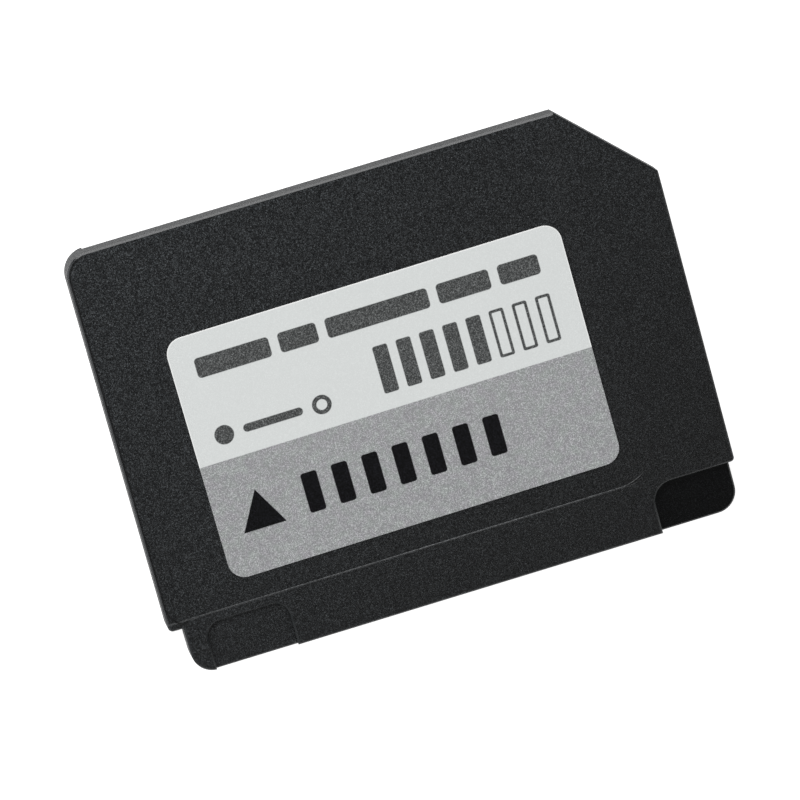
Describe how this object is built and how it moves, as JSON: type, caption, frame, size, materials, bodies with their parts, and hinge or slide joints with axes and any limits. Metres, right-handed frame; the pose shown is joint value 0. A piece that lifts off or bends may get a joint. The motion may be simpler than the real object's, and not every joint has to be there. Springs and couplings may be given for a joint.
{
  "type": "reduced-size multimedia card",
  "caption": "Thin black memory card with a cut corner, a narrower stepped tail with shallow pockets, a printed label on its face and a row of flat contacts underneath.",
  "frame": {"origin": "middle of the card's outline, on the plane that its underside lies on", "axes": "+X across the card towards the long side that the cut corner shortens, +Y towards the contact end that goes into a socket first, +Z out of the label face"},
  "size_m": [0.024, 0.018, 0.0014],
  "materials": {
    "cover_plastic": "black, moulded with a fine spark-eroded grain",
    "label_paper": "printed, satin, light over grey",
    "board_laminate": "glass-fibre laminate under dark green solder mask",
    "contact_plating": "gold-plated copper, smooth",
    "epoxy": "black moulding epoxy, matt",
    "clear_film": "adhesive film, pale and matt",
    "silicon": "silicon, polished",
    "wire_gold": "gold wire, bright",
    "capacitor_ceramic": "fired ceramic, matt",
    "resistor_ceramic": "dark glaze over fired ceramic"
  },
  "bodies": {
    "root": {"cover": "cover_plastic", "label": "label_paper", "circuit_board": "board_laminate", "contact_pad_1": "contact_plating", "contact_pad_2": "contact_plating", "contact_pad_3": "contact_plating", "contact_pad_4": "contact_plating", "contact_pad_5": "contact_plating", "contact_pad_6": "contact_plating", "contact_pad_7": "contact_plating", "chip_moulding": "epoxy", "adhesive_film": "clear_film", "memory_chip": "silicon", "memory_chip_film": "clear_film", "controller_chip": "silicon", "controller_chip_film": "clear_film", "bond_wires": "wire_gold", "capacitor_1": "capacitor_ceramic", "capacitor_2": "capacitor_ceramic", "capacitor_3": "capacitor_ceramic", "resistor_1": "resistor_ceramic", "resistor_2": "resistor_ceramic", "resistor_3": "resistor_ceramic", "resistor_4": "resistor_ceramic"}
  },
  "joints": []
}
